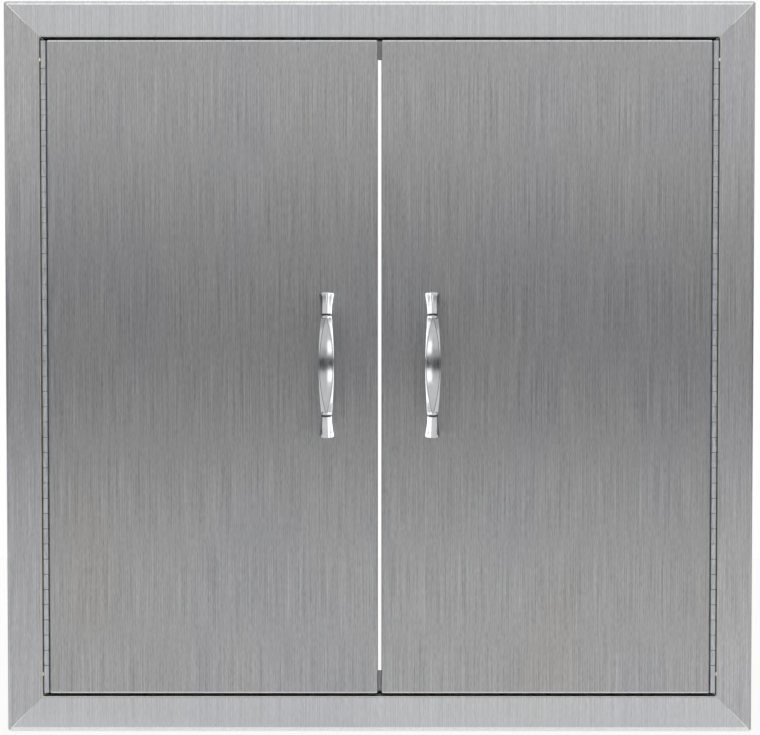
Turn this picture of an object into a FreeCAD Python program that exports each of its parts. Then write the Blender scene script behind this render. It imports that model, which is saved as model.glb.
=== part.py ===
import FreeCAD, Part
import math
import os

os.makedirs("parts", exist_ok=True)
V = FreeCAD.Vector

# Double access door for a barbecue island, in millimetres.
# X runs to the right, Y runs back into the island, Z runs up.
# The origin is the middle of the frame's bottom edge, on the island's face.

# Overall sizes
frame_width = 621.0
frame_height = 607.0
flange_width = 30.0
flange_stand = 8.0
box_depth = 38.0
door_depth = 16.0

# Sheet metal
frame_sheet = 1.2
door_sheet = 1.2
liner_sheet = 0.9
bracket_sheet = 1.5
outer_bend = 3.0
inner_bend = 2.0
door_bend = 2.0
liner_bend = 1.5
liner_return = 8.0
seam_start = 3.6
seam_end = 19.8
seam_wide = 0.54
seam_narrow = 0.32
frame_corner = 1.8
foot_corner = 3.0
housing_edge = 1.2

# Gaps and clearances
door_end_gap = 2.0
centre_gap = 3.0
hinge_end_gap = 0.65
knuckle_gap = 0.3
barrel_clearance = 0.3
pin_clearance = 0.05
liner_clearance = 0.1
weld_clearance = 0.03
screw_clearance = 0.3
thread_clearance = 0.06
stop_clearance = 0.4
magnet_clearance = 0.3
pocket_clearance = 0.2

# Piano hinge
knuckle_pitch = 12.7
knuckle_od = 4.8
pin_d = 2.4
leaf_sheet = 1.2
leaf_depth = 14.0
leaf_notch = 2.9
barrel_proud = 1.2
end_knuckle_least = 12.0
pin_recess = 0.5
tack_from_end = 15.8
tack_r = 1.0
tack_length = 3.2
roll_flats = 10
bore_flats = 6

# Pull handle
handle_length = 118.4
handle_centres = 96.0
handle_inset = 42.2
handle_lift = 3.5
handle_height = 19.0
handle_rise = 3.7
neck_inner = 40.2
neck_outer = 41.6
neck_r = 3.6
cap_neck_r = 4.6
cap_tip_r = 6.2
cap_flats = 16
post_r = 4.0
post_flats = 12
cap_edge = 0.7
grip_mid = 6.5
grip_end = 4.35
grip_front = 4.6
grip_back = 4.8
grip_back_end = 4.05
panel_mid = 5.6
panel_slope = 0.6
back_mid = 3.6
back_end = 2.4
back_slope = 1.05
post_hole_depth = 10.0
screw_r = 2.0
screw_flats = 8
screw_bite = 8.0
screw_head_flats = 7.0
screw_head_h = 2.8
screw_collar_flats = 10.0
screw_collar_h = 0.8
channel_width = 36.0
channel_length = 140.0
channel_bend = 2.0

# Catches
stop_left = -1.7
stop_width = 8.3
stop_length = 17.5
stop_lip = 8.0
stop_foot = 14.0
stop_corner = 1.2
stop_end_gap = 0.3
notch_clearance = 1.0
foot_half = 38.0
foot_depth = 22.0
catch_half = 40.0
catch_height = 14.0
catch_front = 4.0
catch_depth = 18.0
catch_screw_x = 10.0
magnet_x = 27.0
magnet_size = (17.6, 14.0, 9.6)
strike_size = (36.0, 1.5, 14.0)
strike_edge = 1.0
stop_bend = 2.4
pole_plate = 2.0

# Fixing holes through the side returns
fixing_r = 2.6
fixing_y = 26.0
fixing_spacing = 400.0

# Sizes that follow from the ones above
front_y = -flange_stand
open_x = frame_width / 2 - flange_width
open_low = flange_width
open_high = frame_height - flange_width
mid_z = frame_height / 2
barrel_r = knuckle_od / 2
leaf_offset = barrel_r + barrel_clearance
hinge_x = open_x - leaf_offset
hinge_y = front_y + barrel_r - barrel_proud
hinge_low = open_low + door_end_gap + hinge_end_gap
hinge_high = open_high - door_end_gap - hinge_end_gap
hinge_length = hinge_high - hinge_low
door_outer = open_x - 2 * leaf_offset
door_inner = centre_gap / 2
door_low = open_low + door_end_gap
door_high = open_high - door_end_gap
door_back = front_y + door_depth
skin_inside = front_y + door_sheet
liner_inside = door_back - liner_sheet
handle_x = door_inner + handle_inset
handle_z = mid_z + handle_lift
stop_front = door_back + stop_clearance
housing_front = door_back + catch_front
strike_back = door_back + strike_size[1]
catch_screw_y = housing_front + catch_depth / 2


def save(name, shape):
    """Write one piece to its STEP file."""
    if not shape.isValid():
        shape.fix(0.001, 0.001, 0.01)
    shape.exportStep("parts/" + name + ".step")


def box(x0, x1, y0, y1, z0, z1):
    """A block between two corners."""
    return Part.makeBox(x1 - x0, y1 - y0, z1 - z0, V(x0, y0, z0))


def rod(r, start, direction, length):
    """A round bar."""
    return Part.makeCylinder(r, length, start, direction)


def flat_ring(flats, r, z):
    """Corners of a regular many-sided outline round the Z axis."""
    step = 2 * math.pi / flats
    turns = [step * (i + 0.5) for i in range(flats)]
    return [V(r * math.cos(a), r * math.sin(a), z) for a in turns]


def flat_rod(flats, across, start, direction, length):
    """A bar with a regular many-sided section, measured across its flats."""
    ring = flat_ring(flats, across / 2 / math.cos(math.pi / flats), 0)
    bar = Part.Face(Part.makePolygon(ring + ring[:1])).extrude(V(0, 0, length))
    bar.Placement = FreeCAD.Placement(start, FreeCAD.Rotation(V(0, 0, 1), direction))
    return bar


def flat_taper(flats, low_r, high_r, z0, z1):
    """A many-sided bar round the Z axis whose corners run from one radius to another."""
    low = flat_ring(flats, low_r, z0)
    high = flat_ring(flats, high_r, z1)
    loops = [low, high]
    for i in range(flats):
        j = (i + 1) % flats
        loops.append([low[i], low[j], high[j], high[i]])
    faces = [Part.Face(Part.makePolygon(loop + loop[:1])) for loop in loops]
    return Part.Solid(Part.Shell(faces))


def flip_x(shape):
    """The same piece on the other side of the middle."""
    return shape.mirror(V(0, 0, 0), V(1, 0, 0))


def flip_z(shape):
    """The same piece upside down, at the frame's other end."""
    return shape.mirror(V(0, 0, mid_z), V(0, 0, 1))


def prism_xz(points, y0, y1):
    """A block with the given outline in X and Z."""
    wire = Part.makePolygon([V(x, y0, z) for x, z in points + points[:1]])
    return Part.Face(wire).extrude(V(0, y1 - y0, 0))


def prism_xy(points, z0, z1):
    """A block with the given outline in X and Y."""
    wire = Part.makePolygon([V(x, y, z0) for x, y in points + points[:1]])
    return Part.Face(wire).extrude(V(0, 0, z1 - z0))


def folded_strip(points, bends, t, side):
    """The cross-section of a folded sheet.

    points is the line that the shown surface follows, bends the radius of that
    surface at each fold. side is 1 where the sheet's thickness lies to the left
    of the line, -1 where it lies to the right.
    """
    shown = []
    hidden = []
    last = points[0]
    for i in range(1, len(points)):
        a = V(points[i - 1][0], points[i - 1][1], 0)
        b = V(points[i][0], points[i][1], 0)
        along = (b - a).normalize()
        normal = V(-along.y, along.x, 0) * side
        start = V(last[0], last[1], 0)
        if i == len(points) - 1:
            end = b
        else:
            c = V(points[i + 1][0], points[i + 1][1], 0)
            onward = (c - b).normalize()
            turn = along.x * onward.y - along.y * onward.x
            angle = math.acos(max(-1.0, min(1.0, along.dot(onward))))
            reach = bends[i - 1] * math.tan(angle / 2)
            end = b - along * reach
        shown.append(Part.makeLine(start, end))
        hidden.append(Part.makeLine(start + normal * t, end + normal * t))
        if i < len(points) - 1:
            r = bends[i - 1]
            way = 1 if turn > 0 else -1
            centre = end + V(-along.y, along.x, 0) * way * r
            middle = (along - onward).normalize()
            far = b + onward * reach
            inward = r - t if way == side else r + t
            next_normal = V(-onward.y, onward.x, 0) * side
            shown.append(Part.Arc(end, centre + middle * r, far).toShape())
            hidden.append(
                Part.Arc(
                    end + normal * t,
                    centre + middle * inward,
                    far + next_normal * t,
                ).toShape()
            )
            last = (far.x, far.y)
    first_cap = Part.makeLine(
        shown[0].valueAt(shown[0].FirstParameter),
        hidden[0].valueAt(hidden[0].FirstParameter),
    )
    end_cap = Part.makeLine(
        shown[-1].valueAt(shown[-1].LastParameter),
        hidden[-1].valueAt(hidden[-1].LastParameter),
    )
    wire = Part.Wire(Part.__sortEdges__(shown + hidden + [first_cap, end_cap]))
    return Part.Face(wire)


def frame_section():
    """Outer return, face flange and box return of the wall frame, folded from one strip."""
    points = [
        (0, 0),
        (0, front_y),
        (flange_width, front_y),
        (flange_width, box_depth),
    ]
    return folded_strip(points, [outer_bend, inner_bend], frame_sheet, 1)


def seam_slot(grow, y0, y1):
    """The outline of the ground weld along the outer part of the bottom left mitre."""
    s = seam_start - grow
    e = seam_end + grow
    wide = seam_wide / 2 + grow
    narrow = seam_narrow / 2 + grow
    left = -frame_width / 2
    points = [
        (left + s - wide, s + wide),
        (left + s + wide, s - wide),
        (left + e + narrow, e - narrow),
        (left + e - narrow, e + narrow),
    ]
    return prism_xz(points, y0, y1)


def corner_cutter():
    """What is ground off the frame's bottom left corner."""
    left = -frame_width / 2
    c = frame_corner
    points = [(left - 1, -1), (left + c + 1, -1), (left - 1, c + 1)]
    return prism_xz(points, front_y - 1, 1)


def at_corners(shape):
    """Copies of a bottom left corner's shape at all four corners."""
    top = flip_z(shape)
    return [shape, flip_x(shape), top, flip_x(top)]


def corner_cuts():
    """What the four mitred corners lose: the seams' slots and the ground points."""
    slot = seam_slot(0, front_y - 1, front_y + frame_sheet + 1)
    return at_corners(slot) + at_corners(corner_cutter())


def fixing_drills():
    """Drills for the two fixing screws through the left box return."""
    drills = []
    for side in (-1, 1):
        z = mid_z + side * fixing_spacing / 2
        start = V(-open_x - frame_sheet - 1, fixing_y, z)
        drills.append(rod(fixing_r, start, V(1, 0, 0), frame_sheet + 2))
    return drills


def catch_drills():
    """Drills for the bottom catch's two screws, up through the return, foot and body."""
    across = 2 * (screw_r + screw_clearance)
    start = open_low - frame_sheet - 1
    length = frame_sheet + bracket_sheet + catch_height + 3
    return [
        flat_rod(
            screw_flats,
            across,
            V(side * catch_screw_x, catch_screw_y, start),
            V(0, 0, 1),
            length,
        )
        for side in (-1, 1)
    ]


def frame_stile():
    """Left side of the frame, mitred at both ends."""
    strip = frame_section().extrude(V(0, 0, frame_height))
    strip.translate(V(-frame_width / 2, 0, 0))
    left = -frame_width / 2
    reach = flange_width + 20
    ends = [
        (left, 0),
        (left + reach, reach),
        (left + reach, frame_height - reach),
        (left, frame_height),
    ]
    strip = strip.common(prism_xz(ends, front_y - 5, box_depth + 5))
    return strip.cut(corner_cuts() + fixing_drills())


def frame_rail():
    """Bottom of the frame, mitred at both ends."""
    strip = frame_section().extrude(V(0, 0, frame_width))
    strip.rotate(V(0, 0, 0), V(0, 1, 0), -90)
    strip.translate(V(frame_width / 2, 0, 0))
    half = frame_width / 2
    reach = flange_width + 20
    ends = [(-half, 0), (half, 0), (half - reach, reach), (-half + reach, reach)]
    strip = strip.common(prism_xz(ends, front_y - 5, box_depth + 5))
    return strip.cut(corner_cuts() + catch_drills())


def hinge_counts():
    """How many full knuckles the hinge has, and how long its two end knuckles are."""
    count = int((hinge_length - 2 * end_knuckle_least) / knuckle_pitch)
    if count % 2 == 0:
        count -= 1
    end = (hinge_length - count * knuckle_pitch) / 2
    return count, end


def knuckle_spans(for_frame):
    """Start and end of each knuckle of one leaf, with the gap between neighbours."""
    count, end = hinge_counts()
    half = knuckle_gap / 2
    cuts = [hinge_low] + [hinge_low + end + i * knuckle_pitch for i in range(count + 1)]
    cuts.append(hinge_high)
    spans = []
    for i in range(len(cuts) - 1):
        if (i % 2 == 0) != for_frame:
            continue
        low = cuts[i] + (half if i > 0 else 0)
        high = cuts[i + 1] - (half if i < len(cuts) - 2 else 0)
        spans.append((low, high))
    return spans


def knuckle_section(side):
    """The leaf's edge rolled round the pin: a ring of flats with its tongue, and its bore."""
    across = knuckle_od * math.cos(math.pi / roll_flats)
    ring = flat_rod(roll_flats, across, V(0, 0, 0), V(0, 0, 1), 1)
    inner = leaf_offset - leaf_sheet
    tongue = box(inner, leaf_offset, -0.3, leaf_notch, 0, 1)
    if side < 0:
        tongue = flip_x(tongue)
    bore = flat_rod(bore_flats, pin_d + 2 * pin_clearance, V(0, 0, -1), V(0, 0, 1), 3)
    rolled = ring.fuse(tongue).cut(bore).removeSplitter()
    ends = [f for f in rolled.Faces if f.CenterOfMass.z < 0.001]
    return ends[0]


def hinge_leaf(for_frame):
    """One leaf of the left hinge: a plate folded back into the gap, and its knuckles."""
    side = -1 if for_frame else 1
    inner = leaf_offset - leaf_sheet
    plate = box(inner, leaf_offset, leaf_notch, leaf_depth, hinge_low, hinge_high)
    if side < 0:
        plate = flip_x(plate)
    section = knuckle_section(side)
    rolls = []
    for low, high in knuckle_spans(for_frame):
        roll = section.extrude(V(0, 0, high - low))
        roll.translate(V(0, 0, low))
        rolls.append(roll)
    leaf = plate.multiFuse(rolls).removeSplitter()
    leaf.translate(V(-hinge_x, hinge_y, 0))
    return leaf


def hinge_pin():
    """The left hinge's pin."""
    start = V(-hinge_x, hinge_y, hinge_low + pin_recess)
    return rod(pin_d / 2, start, V(0, 0, 1), hinge_length - 2 * pin_recess)


def tack_weld(z):
    """A small weld in the valley between the flange's fold and the end knuckle."""
    low = z - tack_length / 2
    up = V(0, 0, 1)
    bead = flat_rod(8, 2 * tack_r, V(-open_x, front_y + tack_r * 0.6, low), up, tack_length)
    ends = [e for e in bead.Edges if abs(e.CenterOfMass.z - z) > tack_length / 2 - 0.01]
    bead = bead.makeChamfer(tack_r * 0.5, ends)
    c = 2 * weld_clearance
    fold = flat_rod(
        24,
        2 * inner_bend + c,
        V(-open_x - inner_bend, front_y + inner_bend, low - 1),
        up,
        tack_length + 2,
    )
    roll = V(-hinge_x, hinge_y, low - 1)
    barrel = flat_rod(roll_flats, knuckle_od + c, roll, up, tack_length + 2)
    behind = box(
        -open_x - 5, -open_x + 5, hinge_y - 0.35, hinge_y + 5, low - 1, low + tack_length + 1
    )
    beside = box(
        -open_x - 5,
        -open_x - inner_bend,
        front_y - weld_clearance,
        front_y + 5,
        low - 1,
        low + tack_length + 1,
    )
    return bead.cut([fold, barrel, behind, beside])


def tray(x0, x1, z0, z1, shown_y, depth, t, bend):
    """A shallow folded tray. depth is positive where it opens towards the back."""
    y0, y1 = sorted((shown_y, shown_y + depth))
    outer = box(x0, x1, y0, y1, z0, z1)
    rim = [e for e in outer.Edges if abs(e.CenterOfMass.y - shown_y) < 1e-6]
    outer = outer.makeFillet(bend, rim)
    if depth > 0:
        return outer.cut(box(x0 + t, x1 - t, y0 + t, y1 + 5, z0 + t, z1 - t))
    return outer.cut(box(x0 + t, x1 - t, y0 - 5, y1 - t, z0 + t, z1 - t))


def handle_screw_spots():
    """Heights of the two screws of one handle."""
    return [handle_z - handle_centres / 2, handle_z + handle_centres / 2]


def handle_drills():
    """Drills through the left door at the handle's screws."""
    across = 2 * (screw_r + screw_clearance)
    return [
        flat_rod(
            screw_flats, across, V(-handle_x, front_y - 1, z), V(0, 1, 0), door_depth + 2
        )
        for z in handle_screw_spots()
    ]


def door_skin():
    """Left door's front pan, with its four returns."""
    pan = tray(
        -door_outer,
        -door_inner,
        door_low,
        door_high,
        front_y,
        door_depth,
        door_sheet,
        door_bend,
    )
    return pan.cut(handle_drills())


def door_liner():
    """Left door's back pan, seated inside the front pan's returns."""
    inset = door_sheet + liner_clearance
    pan = tray(
        -door_outer + inset,
        -door_inner - inset,
        door_low + inset,
        door_high - inset,
        door_back,
        -liner_return,
        liner_sheet,
        liner_bend,
    )
    return pan.cut(handle_drills())


def handle_channel():
    """Channel between the left door's two pans that the handle's screws clamp."""
    half = channel_width / 2
    points = [
        (-half, liner_inside),
        (-half, skin_inside),
        (half, skin_inside),
        (half, liner_inside),
    ]
    section = folded_strip(points, [channel_bend, channel_bend], bracket_sheet, 1)
    channel = section.extrude(V(0, 0, channel_length))
    channel.translate(V(-handle_x, 0, handle_z - channel_length / 2))
    return channel.cut(handle_drills())


def bow_face(front_mid, front_end, back_mid, back_end):
    """The grip seen from the side: two bowed lines joined by its leaning ends."""
    lean = math.atan(2 * handle_rise / neck_inner)
    crest = -handle_height - handle_rise

    def at_end(distance, way):
        y = -handle_height + distance * math.cos(lean)
        return V(0, y, way * (neck_inner - distance * math.sin(lean)))

    top_front, low_front = at_end(-front_end, 1), at_end(-front_end, -1)
    top_back, low_back = at_end(back_end, 1), at_end(back_end, -1)
    edges = [
        Part.Arc(low_front, V(0, crest - front_mid, 0), top_front).toShape(),
        Part.makeLine(top_front, top_back),
        Part.Arc(top_back, V(0, crest + back_mid, 0), low_back).toShape(),
        Part.makeLine(low_back, low_front),
    ]
    return Part.Face(Part.Wire(edges))


def bowed_ridge(crest, sag, slope, way):
    """A ridge bowed along the handle. crest is its level at the middle, sag its drop at the ends.

    The sides fall off by slope for each millimetre to the side. way is 1 where
    they fall towards the door, -1 where they fall away from it.
    """
    reach = neck_inner
    r = (reach * reach + sag * sag) / (2 * sag)
    wide = 2 * grip_mid
    y = [crest, crest + way * slope * wide, crest + way * 40]
    outline = [V(0, y[0], 0), V(wide, y[1], 0), V(wide, y[2], 0), V(-wide, y[2], 0), V(-wide, y[1], 0)]
    face = Part.Face(Part.makePolygon(outline + outline[:1]))
    turn = 1.15 * math.degrees(math.asin(reach / r))
    axis = V(0, crest + r, 0)
    face.rotate(axis, V(1, 0, 0), -turn)
    return face.revolve(axis, V(1, 0, 0), 2 * turn)


def handle_grip():
    """The bowed grip between the neck rings, with a leaf-shaped panel along its front."""
    side_view = bow_face(grip_front, grip_end, grip_back, grip_back_end)
    side_view.translate(V(-2 * grip_mid, 0, 0))
    body = side_view.extrude(V(4 * grip_mid, 0, 0))
    reach = neck_inner + 1
    y = -2 * handle_height
    right = Part.Arc(V(grip_end, y, -reach), V(grip_mid, y, 0), V(grip_end, y, reach))
    left = Part.Arc(V(-grip_end, y, reach), V(-grip_mid, y, 0), V(-grip_end, y, -reach))
    edges = [
        right.toShape(),
        Part.makeLine(V(grip_end, y, reach), V(-grip_end, y, reach)),
        left.toShape(),
        Part.makeLine(V(-grip_end, y, -reach), V(grip_end, y, -reach)),
    ]
    front_view = Part.Face(Part.Wire(edges)).extrude(V(0, 2 * handle_height, 0))
    level = -handle_height - handle_rise - grip_front
    front_crest = level - panel_mid * panel_slope
    front_sag = -handle_height - grip_end * 0.984 - front_crest
    front_ridge = bowed_ridge(front_crest, front_sag, panel_slope, 1)
    back_crest = -handle_height - handle_rise + grip_back + back_mid * back_slope
    back_end_level = -handle_height + grip_back_end * 0.984 + back_end * back_slope
    back_ridge = bowed_ridge(back_crest, back_end_level - back_crest, back_slope, -1)
    return body.common(front_view).common(front_ridge).common(back_ridge)


def handle_cap():
    """The upper end: neck ring and flared cap, standing square to the bowed grip's end."""
    lean = math.degrees(math.atan(2 * handle_rise / neck_inner))
    tip = handle_length / 2
    neck = flat_taper(cap_flats, neck_r, neck_r, neck_inner - 1, neck_outer)
    flare = flat_taper(cap_flats, cap_neck_r, cap_tip_r, neck_outer, tip - cap_edge)
    edge = flat_taper(cap_flats, cap_tip_r, cap_tip_r - cap_edge, tip - cap_edge, tip)
    cap = neck.multiFuse([flare, edge]).removeSplitter()
    cap.rotate(V(0, 0, neck_inner), V(1, 0, 0), -lean)
    cap.translate(V(0, -handle_height, 0))
    return cap


def handle():
    """Left door's cast pull, with a blind screw hole in each post."""
    cap = handle_cap()
    reach = handle_centres / 2
    top = handle_height - 1.5
    post = flat_rod(post_flats, 2 * post_r, V(0, 0, reach), V(0, -1, 0), top)
    other = [s.mirror(V(0, 0, 0), V(0, 0, 1)) for s in (cap, post)]
    pull = handle_grip().multiFuse([cap, post] + other)
    across = 2 * (screw_r + thread_clearance)
    holes = [
        flat_rod(screw_flats, across, V(0, 1, side * reach), V(0, -1, 0), post_hole_depth + 1)
        for side in (-1, 1)
    ]
    pull = pull.cut(holes)
    pull.translate(V(-handle_x, front_y, handle_z))
    return pull


def screw(seat, direction, shank):
    """A hexagon screw with a collar: the collar's face at seat, the shank along direction."""
    back = direction * -1
    collar = flat_rod(screw_flats, screw_collar_flats, seat, back, screw_collar_h)
    head = flat_rod(6, screw_head_flats, seat, back, screw_head_h)
    shaft = flat_rod(screw_flats, 2 * screw_r, seat, direction, shank)
    return collar.multiFuse([head, shaft])


def handle_screws():
    """Left handle's two screws, put in from the back of the door."""
    shank = door_depth + screw_bite
    return Part.makeCompound(
        [screw(V(-handle_x, door_back, z), V(0, -1, 0), shank) for z in handle_screw_spots()]
    )


def strike_plate():
    """A steel plate spot-welded to the left door's back, that the bottom magnet holds."""
    w, t, h = strike_size
    z = door_low + strike_edge
    plate = box(-magnet_x - w / 2, -magnet_x + w / 2, door_back, door_back + t, z, z + h)
    upright = [e for e in plate.Edges if abs(e.tangentAt(0).y) > 0.99]
    return plate.makeChamfer(1.5, upright)


def stop_front_outline():
    """The bottom stop from the front: its lip, a notch on each side, and the tab between them."""
    end = open_x - stop_end_gap
    notch = magnet_x + strike_size[0] / 2 + notch_clearance
    tab = (stop_left, stop_left + stop_width)
    c = stop_corner
    low = open_low - 1
    fold = open_low + stop_bend
    lip = open_low + stop_lip
    tip = open_low + stop_length
    return [
        (-end, low),
        (end, low),
        (end, lip - c),
        (end - c, lip),
        (notch + c, lip),
        (notch, lip - c),
        (notch, fold),
        (tab[1], fold),
        (tab[1], tip - c),
        (tab[1] - c, tip),
        (tab[0] + c, tip),
        (tab[0], tip - c),
        (tab[0], fold),
        (-notch, fold),
        (-notch, lip - c),
        (-notch - c, lip),
        (-end + c, lip),
        (-end, lip - c),
    ]


def stop_foot_outline():
    """The bottom stop from above: a narrow foot that reaches further back under the catch."""
    end = open_x - stop_end_gap
    front = stop_front - 1
    narrow = stop_front + stop_foot
    back = housing_front + foot_depth
    c = foot_corner
    return [
        (-end, front),
        (end, front),
        (end, narrow),
        (foot_half, narrow),
        (foot_half, back - c),
        (foot_half - c, back),
        (-foot_half + c, back),
        (-foot_half, back - c),
        (-foot_half, narrow),
        (-end, narrow),
    ]


def stop_bracket():
    """Bottom door stop: an angle right across the opening that also carries the catch."""
    end = open_x - stop_end_gap
    back = housing_front + foot_depth
    top = open_low + stop_length
    points = [(back, open_low), (stop_front, open_low), (stop_front, top)]
    section = folded_strip(points, [stop_bend], bracket_sheet, -1)
    angle = section.extrude(V(0, 0, 2 * end))
    angle.rotate(V(0, 0, 0), V(1, 1, 1), 120)
    angle.translate(V(-end, 0, 0))
    angle = angle.common(prism_xz(stop_front_outline(), stop_front - 1, back + 1))
    angle = angle.common(prism_xy(stop_foot_outline(), open_low - 1, top + 1))
    return angle.cut(catch_drills())


def catch_housing():
    """Bottom magnetic catch's moulded body, with a pocket for each magnet."""
    low = open_low + bracket_sheet
    back = housing_front + catch_depth
    body = box(-catch_half, catch_half, housing_front, back, low, low + catch_height)
    shown = [e for e in body.Edges if e.CenterOfMass.z > low + 0.1]
    body = body.makeChamfer(housing_edge, shown)
    w, depth, h = magnet_size
    c = pocket_clearance
    mid = low + catch_height / 2
    back = strike_back + magnet_clearance + depth + c
    pockets = []
    for side in (-1, 1):
        x = side * magnet_x
        pockets.append(
            box(
                x - w / 2 - c,
                x + w / 2 + c,
                housing_front - 1,
                back,
                mid - h / 2 - c,
                mid + h / 2 + c,
            )
        )
    return body.cut(pockets + catch_drills())


def catch_magnets():
    """Bottom catch's two magnets, each grooved between its core and its pole plates."""
    w, depth, h = magnet_size
    mid = open_low + bracket_sheet + catch_height / 2
    front = strike_back + magnet_clearance
    blocks = []
    for side in (-1, 1):
        x = side * magnet_x
        block = box(x - w / 2, x + w / 2, front, front + depth, mid - h / 2, mid + h / 2)
        for up in (-1, 1):
            z = mid + up * (h / 2 - pole_plate)
            groove = box(x - w, x + w, front - 1, front + 1.2, z - 0.4, z + 0.4)
            block = block.cut(groove)
        blocks.append(block)
    return Part.makeCompound(blocks)


def catch_screws():
    """Bottom catch's two screws, through the body, the bracket and the box return."""
    seat = open_low + bracket_sheet + catch_height
    shank = catch_height + bracket_sheet + frame_sheet + 3.0
    return Part.makeCompound(
        [
            screw(V(side * catch_screw_x, catch_screw_y, seat), V(0, 0, -1), shank)
            for side in (-1, 1)
        ]
    )


# Wall frame
stile = frame_stile()
rail = frame_rail()
weld = seam_slot(-weld_clearance, front_y - 0.05, front_y + frame_sheet)
save("frame_left_stile", stile)
save("frame_right_stile", flip_x(stile))
save("frame_bottom_rail", rail)
save("frame_top_rail", flip_z(rail))
save("frame_corner_welds", Part.makeCompound(at_corners(weld)))

# Hinges and doors, each made for the left and turned over for the right
strike = strike_plate()
tacks = [tack_weld(hinge_low + tack_from_end), tack_weld(hinge_high - tack_from_end)]
left_pieces = {
    "hinge_frame_leaf": hinge_leaf(True),
    "hinge_door_leaf": hinge_leaf(False),
    "hinge_pin": hinge_pin(),
    "hinge_tack_welds": Part.makeCompound(tacks),
    "door_skin": door_skin(),
    "door_liner": door_liner(),
    "handle_channel": handle_channel(),
    "handle": handle(),
    "handle_screws": handle_screws(),
    "strike_plate_bottom": strike,
    "strike_plate_top": flip_z(strike),
}
for name, shape in left_pieces.items():
    save(name + "_left", shape)
    save(name + "_right", flip_x(shape))

# Catches, made for the bottom and turned over for the top
bottom_pieces = {
    "stop_bracket": stop_bracket(),
    "catch_housing": catch_housing(),
    "catch_magnets": catch_magnets(),
    "catch_screws": catch_screws(),
}
for name, shape in bottom_pieces.items():
    save(name + "_bottom", shape)
    save(name + "_top", flip_z(shape))
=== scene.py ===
import math

import bmesh
import bpy
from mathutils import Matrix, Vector


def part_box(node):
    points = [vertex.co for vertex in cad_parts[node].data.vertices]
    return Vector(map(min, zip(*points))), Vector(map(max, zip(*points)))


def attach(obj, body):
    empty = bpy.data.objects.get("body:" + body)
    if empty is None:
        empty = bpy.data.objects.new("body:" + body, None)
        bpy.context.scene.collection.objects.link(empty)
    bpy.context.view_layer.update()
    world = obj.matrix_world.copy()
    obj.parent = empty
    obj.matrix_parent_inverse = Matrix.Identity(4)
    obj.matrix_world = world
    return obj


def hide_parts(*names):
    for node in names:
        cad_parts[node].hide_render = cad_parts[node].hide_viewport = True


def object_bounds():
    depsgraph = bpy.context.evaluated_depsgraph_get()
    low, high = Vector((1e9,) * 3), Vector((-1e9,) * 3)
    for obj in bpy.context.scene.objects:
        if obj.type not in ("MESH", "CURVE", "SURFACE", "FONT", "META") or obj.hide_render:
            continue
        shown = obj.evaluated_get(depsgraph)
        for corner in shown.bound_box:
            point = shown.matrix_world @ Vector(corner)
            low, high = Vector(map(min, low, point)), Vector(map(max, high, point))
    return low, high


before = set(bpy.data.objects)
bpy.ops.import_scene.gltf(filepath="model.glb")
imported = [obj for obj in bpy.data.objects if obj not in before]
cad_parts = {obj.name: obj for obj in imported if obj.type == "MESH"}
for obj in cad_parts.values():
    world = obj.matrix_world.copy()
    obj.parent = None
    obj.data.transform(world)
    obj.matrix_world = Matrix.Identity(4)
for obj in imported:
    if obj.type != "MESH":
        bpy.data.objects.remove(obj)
cad_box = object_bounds()
MM = 0.001
MIDDLE = (cad_box[0].z + cad_box[1].z) / 2


# Finishes


def tone(code):
    """A colour written as on screen, turned to the linear values that the shaders use."""
    values = [int(code[i : i + 2], 16) / 255 for i in (1, 3, 5)]
    linear = [v / 12.92 if v <= 0.04045 else ((v + 0.055) / 1.055) ** 2.4 for v in values]
    return (*linear, 1.0)


def wire(tree, node, links):
    """Feeds a node's sockets from the outputs of other nodes."""
    for socket, source in links.items():
        tree.links.new(source, node.inputs[socket])


def add(tree, kind, settings=None, links=None):
    """One node with its settings, its socket values and what feeds it.

    The setting "stops" fills a colour ramp from pairs of a place and a colour.
    """
    node = tree.nodes.new(kind)
    for name, value in (settings or {}).items():
        if name == "stops":
            elements = node.color_ramp.elements
            while len(elements) < len(value):
                elements.new(0.5)
            for element, (place, code) in zip(elements, value):
                element.position = place
                element.color = tone(code)
        elif isinstance(name, str) and hasattr(node, name):
            setattr(node, name, value)
        else:
            node.inputs[name].default_value = value
    wire(tree, node, links or {})
    return node


def bare_finish(name, metallic, roughness):
    """A finish with nothing on it yet: the material, its node tree and its shader."""
    material = bpy.data.materials.new(name)
    material.use_nodes = True
    shader = material.node_tree.nodes["Principled BSDF"]
    shader.inputs["Metallic"].default_value = metallic
    shader.inputs["Roughness"].default_value = roughness
    return material, material.node_tree, shader


def marks(tree, wide, tall, detail):
    """Light and dark marks in the object's own millimetres, so wide across and so tall along Z."""
    where = add(tree, "ShaderNodeTexCoord").outputs["Object"]
    size = (1 / (wide * MM), 1 / (wide * MM), 1 / (tall * MM))
    place = add(tree, "ShaderNodeMapping", {"Scale": size}, {"Vector": where})
    settings = {"Scale": 1.0, "Detail": detail, "Roughness": 0.6}
    return add(tree, "ShaderNodeTexNoise", settings, {"Vector": place.outputs[0]}).outputs["Fac"]


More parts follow.
